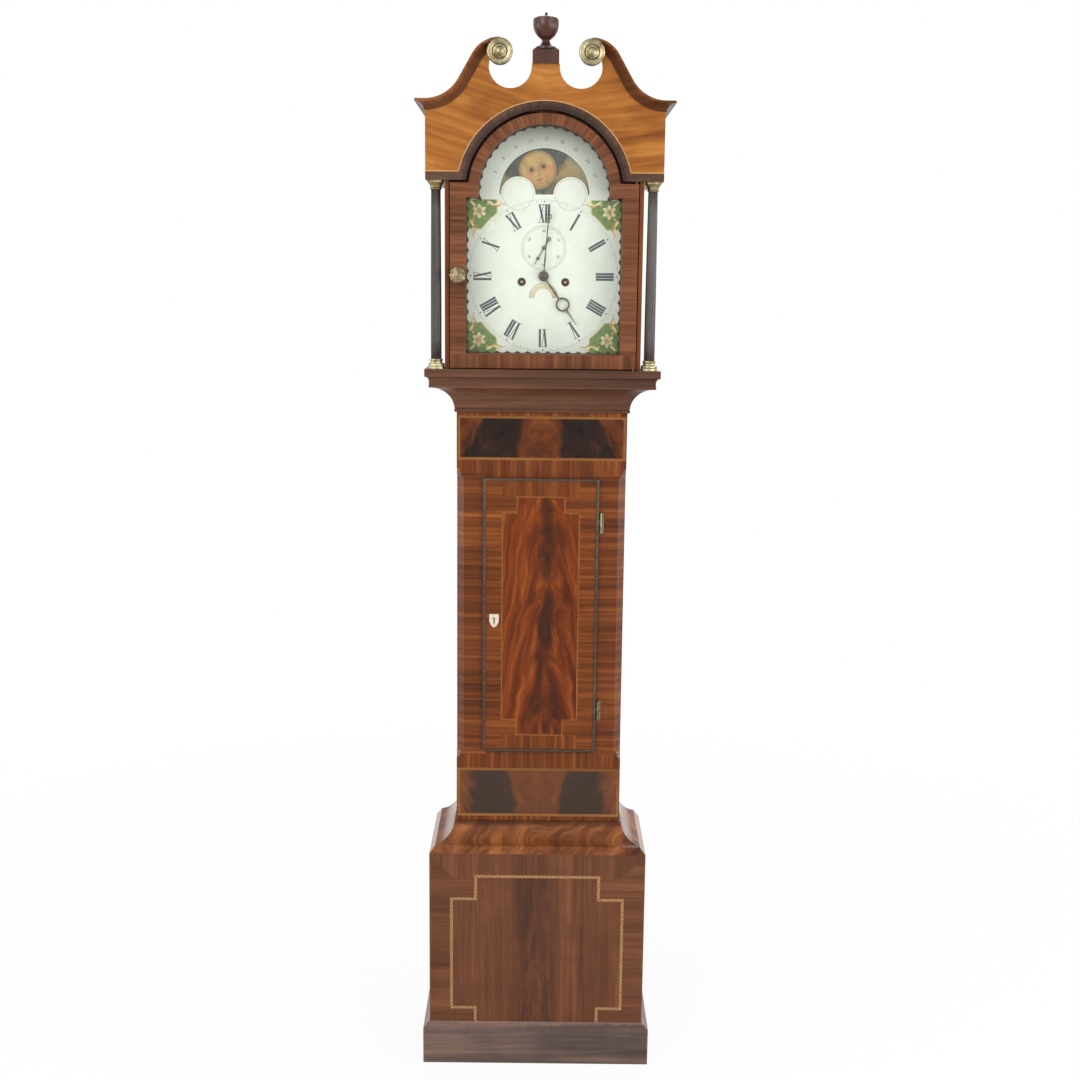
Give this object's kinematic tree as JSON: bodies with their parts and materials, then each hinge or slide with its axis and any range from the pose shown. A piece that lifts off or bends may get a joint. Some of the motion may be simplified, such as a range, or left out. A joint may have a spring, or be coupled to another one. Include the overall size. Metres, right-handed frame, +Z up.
{
  "type": "longcase clock",
  "caption": "Tall longcase clock with swan-neck hood, arched painted moon dial, glazed hood door, trunk door, pendulum, weights and geared movement.",
  "frame": {"origin": "centre of the bounding box at floor level", "axes": "+Z up, -Y to the front of the clock, +X to the right seen from the front"},
  "size_m": [0.531, 0.262, 2.293],
  "materials": {
    "mahogany": "waxed polish",
    "flame_veneer": "waxed polish",
    "base_veneer": "waxed polish",
    "golden_veneer": "waxed polish",
    "dark_moulding": "waxed polish",
    "plinth_wood": "worn wax",
    "carcass_pine": "unfinished",
    "brass": "antique polish",
    "hand_brass": "polish",
    "blued_steel": "blued",
    "iron": "cast",
    "bone": "polished",
    "glass": "clear",
    "dial_paint": "gloss enamel paint",
    "moon_paint": "gloss paint",
    "date_paint": "gloss paint",
    "gut": "twisted gut"
  },
  "bodies": {
    "case": {"plinth_skirting": "plinth_wood", "base_panels": "base_veneer", "base_floor": "carcass_pine", "base_cove": "mahogany", "trunk_stiles": "mahogany", "trunk_rails": "flame_veneer", "trunk_sides": "mahogany", "backboard": "carcass_pine", "trunk_cornice": "mahogany", "trunk_hinge_plates": "brass", "seatboard": "carcass_pine", "movement_frame": "brass", "back_cock": "brass", "dial_sheet": "dial_paint", "bell": "brass", "going_line": "gut", "strike_line": "gut"},
    "trunk_door": {"trunk_door_board": "flame_veneer", "trunk_door_hinges": "brass", "trunk_lock": "iron", "keyhole_escutcheon": "bone"},
    "hood": {"hood_base_rails": "mahogany", "hood_sides": "mahogany", "hood_mask": "mahogany", "hood_frieze_board": "golden_veneer", "hood_top_boards": "mahogany", "arch_moulding": "dark_moulding", "crown_mouldings": "mahogany", "finial": "mahogany", "column_shafts": "dark_moulding", "hood_brass_mounts": "brass"},
    "hood_door": {"hood_door_frame": "mahogany", "hood_door_glass": "glass", "hood_door_brasses": "brass"},
    "going_great_wheel": {"going_great_wheel": "brass"},
    "going_barrel": {"going_barrel": "brass"},
    "centre_arbor": {"centre_wheel": "brass", "minute_hand": "hand_brass"},
    "third_arbor": {"third_wheel": "brass"},
    "escape_arbor": {"escape_wheel": "brass", "seconds_hand": "hand_brass"},
    "minute_wheel": {"minute_wheel": "brass"},
    "hour_pipe": {"hour_wheel": "brass", "hour_hand": "hand_brass"},
    "moon_disc": {"moon_disc": "moon_paint"},
    "calendar_disc": {"calendar_disc": "date_paint"},
    "anchor": {"anchor": "blued_steel"},
    "pendulum": {"pendulum_rod": "blued_steel", "pendulum_bob": "brass"},
    "going_weight": {"going_weight": "iron"},
    "going_pulley": {"going_pulley": "brass"},
    "strike_weight": {"strike_weight": "iron"},
    "strike_pulley": {"strike_pulley": "brass"},
    "strike_great_wheel": {"strike_great_wheel": "brass"},
    "strike_barrel": {"strike_barrel": "brass"},
    "pin_arbor": {"pin_wheel": "brass"},
    "gathering_arbor": {"gathering_wheel": "brass"},
    "warning_arbor": {"warning_wheel": "brass"},
    "fly": {"fly": "brass"},
    "hammer": {"hammer": "blued_steel"}
  },
  "joints": [
    {"name": "trunk_door_hinge", "type": "hinge", "parent": "case", "child": "trunk_door", "pos_m": [0.1302, -0.0586, 1.03], "axis": [0, 0, 1], "range_deg": [0, 110]},
    {"name": "hood_slide", "type": "slide", "parent": "case", "child": "hood", "axis": [0, -1, 0], "range_m": [0, 0.28]},
    {"name": "hood_door_hinge", "type": "hinge", "parent": "hood", "child": "hood_door", "pos_m": [0.1905, -0.096, 1.767], "axis": [0, 0, 1], "range_deg": [0, 105]},
    {"name": "seconds_turn", "type": "hinge", "parent": "case", "child": "escape_arbor", "pos_m": [0, 0.036, 1.828], "axis": [0, 1, 0], "continuous": true},
    {"name": "third_turn", "type": "hinge", "parent": "case", "child": "third_arbor", "pos_m": [0.013, 0.036, 1.802], "axis": [0, 1, 0], "continuous": true},
    {"name": "centre_turn", "type": "hinge", "parent": "case", "child": "centre_arbor", "pos_m": [0, 0.036, 1.769], "axis": [0, 1, 0], "continuous": true},
    {"name": "going_great_turn", "type": "hinge", "parent": "case", "child": "going_great_wheel", "pos_m": [0.0465, 0.036, 1.757], "axis": [0, 1, 0], "continuous": true},
    {"name": "minute_wheel_turn", "type": "hinge", "parent": "case", "child": "minute_wheel", "pos_m": [0.0144, 0.036, 1.7441], "axis": [0, 1, 0], "continuous": true},
    {"name": "hour_turn", "type": "hinge", "parent": "case", "child": "hour_pipe", "pos_m": [0, 0.036, 1.769], "axis": [0, 1, 0], "continuous": true},
    {"name": "moon_turn", "type": "hinge", "parent": "case", "child": "moon_disc", "pos_m": [0, 0.036, 1.9388], "axis": [0, 1, 0], "continuous": true},
    {"name": "calendar_turn", "type": "hinge", "parent": "case", "child": "calendar_disc", "pos_m": [0, 0.036, 1.722], "axis": [0, 1, 0], "continuous": true},
    {"name": "pendulum_swing", "type": "hinge", "parent": "case", "child": "pendulum", "pos_m": [0, 0.036, 1.856], "axis": [0, 1, 0], "range_deg": [-2.5, 2.5]},
    {"name": "anchor_rock", "type": "hinge", "parent": "case", "child": "anchor", "pos_m": [0, 0.036, 1.856], "axis": [0, 1, 0], "range_deg": [-2.5, 2.5]},
    {"name": "going_weight_drop", "type": "slide", "parent": "case", "child": "going_weight", "axis": [0, 0, 1], "range_m": [-0.8, 0.22], "deforming": ["going_line"]},
    {"name": "going_barrel_turn", "type": "hinge", "parent": "case", "child": "going_barrel", "pos_m": [0.0465, 0.036, 1.757], "axis": [0, 1, 0], "continuous": true},
    {"name": "going_pulley_turn", "type": "hinge", "parent": "going_weight", "child": "going_pulley", "pos_m": [0.0458, 0.036, 1.3], "axis": [0, 1, 0], "continuous": true},
    {"name": "strike_weight_drop", "type": "slide", "parent": "case", "child": "strike_weight", "axis": [0, 0, 1], "range_m": [-0.8, 0.22], "deforming": ["strike_line"]},
    {"name": "strike_barrel_turn", "type": "hinge", "parent": "case", "child": "strike_barrel", "pos_m": [-0.0465, 0.036, 1.757], "axis": [0, 1, 0], "continuous": true},
    {"name": "strike_pulley_turn", "type": "hinge", "parent": "strike_weight", "child": "strike_pulley", "pos_m": [-0.0472, 0.036, 1.3], "axis": [0, 1, 0], "continuous": true},
    {"name": "fly_turn", "type": "hinge", "parent": "case", "child": "fly", "pos_m": [-0.04194, 0.036, 1.8471], "axis": [0, 1, 0], "continuous": true},
    {"name": "warning_turn", "type": "hinge", "parent": "case", "child": "warning_arbor", "pos_m": [-0.02808, 0.036, 1.8391], "axis": [0, 1, 0], "continuous": true},
    {"name": "gathering_turn", "type": "hinge", "parent": "case", "child": "gathering_arbor", "pos_m": [-0.02138, 0.036, 1.82068], "axis": [0, 1, 0], "continuous": true},
    {"name": "pin_turn", "type": "hinge", "parent": "case", "child": "pin_arbor", "pos_m": [-0.03, 0.036, 1.797], "axis": [0, 1, 0], "continuous": true},
    {"name": "strike_great_turn", "type": "hinge", "parent": "case", "child": "strike_great_wheel", "pos_m": [-0.0465, 0.036, 1.757], "axis": [0, 1, 0], "continuous": true},
    {"name": "hammer_lift", "type": "hinge", "parent": "case", "child": "hammer", "pos_m": [-0.064, 0.036, 1.819], "axis": [0, 1, 0], "range_deg": [-12, 0], "stiffness_Nm_per_rad": 0.2}
  ],
  "couplings": [
    {"joint": "third_turn", "follows": "seconds_turn", "ratio": -0.125},
    {"joint": "centre_turn", "follows": "seconds_turn", "ratio": 0.016667},
    {"joint": "going_great_turn", "follows": "seconds_turn", "ratio": -0.0013889},
    {"joint": "minute_wheel_turn", "follows": "seconds_turn", "ratio": -0.016667},
    {"joint": "hour_turn", "follows": "seconds_turn", "ratio": 0.0013889},
    {"joint": "anchor_rock", "follows": "pendulum_swing", "ratio": 1},
    {"joint": "going_barrel_turn", "follows": "going_weight_drop", "rad_per_m": 80.321},
    {"joint": "going_pulley_turn", "follows": "going_weight_drop", "rad_per_m": 41.322},
    {"joint": "strike_barrel_turn", "follows": "strike_weight_drop", "rad_per_m": 80.321},
    {"joint": "strike_pulley_turn", "follows": "strike_weight_drop", "rad_per_m": 41.322},
    {"joint": "warning_turn", "follows": "fly_turn", "ratio": -0.16667},
    {"joint": "gathering_turn", "follows": "fly_turn", "ratio": 0.02381},
    {"joint": "pin_turn", "follows": "fly_turn", "ratio": -0.0029762},
    {"joint": "strike_great_turn", "follows": "fly_turn", "ratio": 0.00030525}
  ]
}
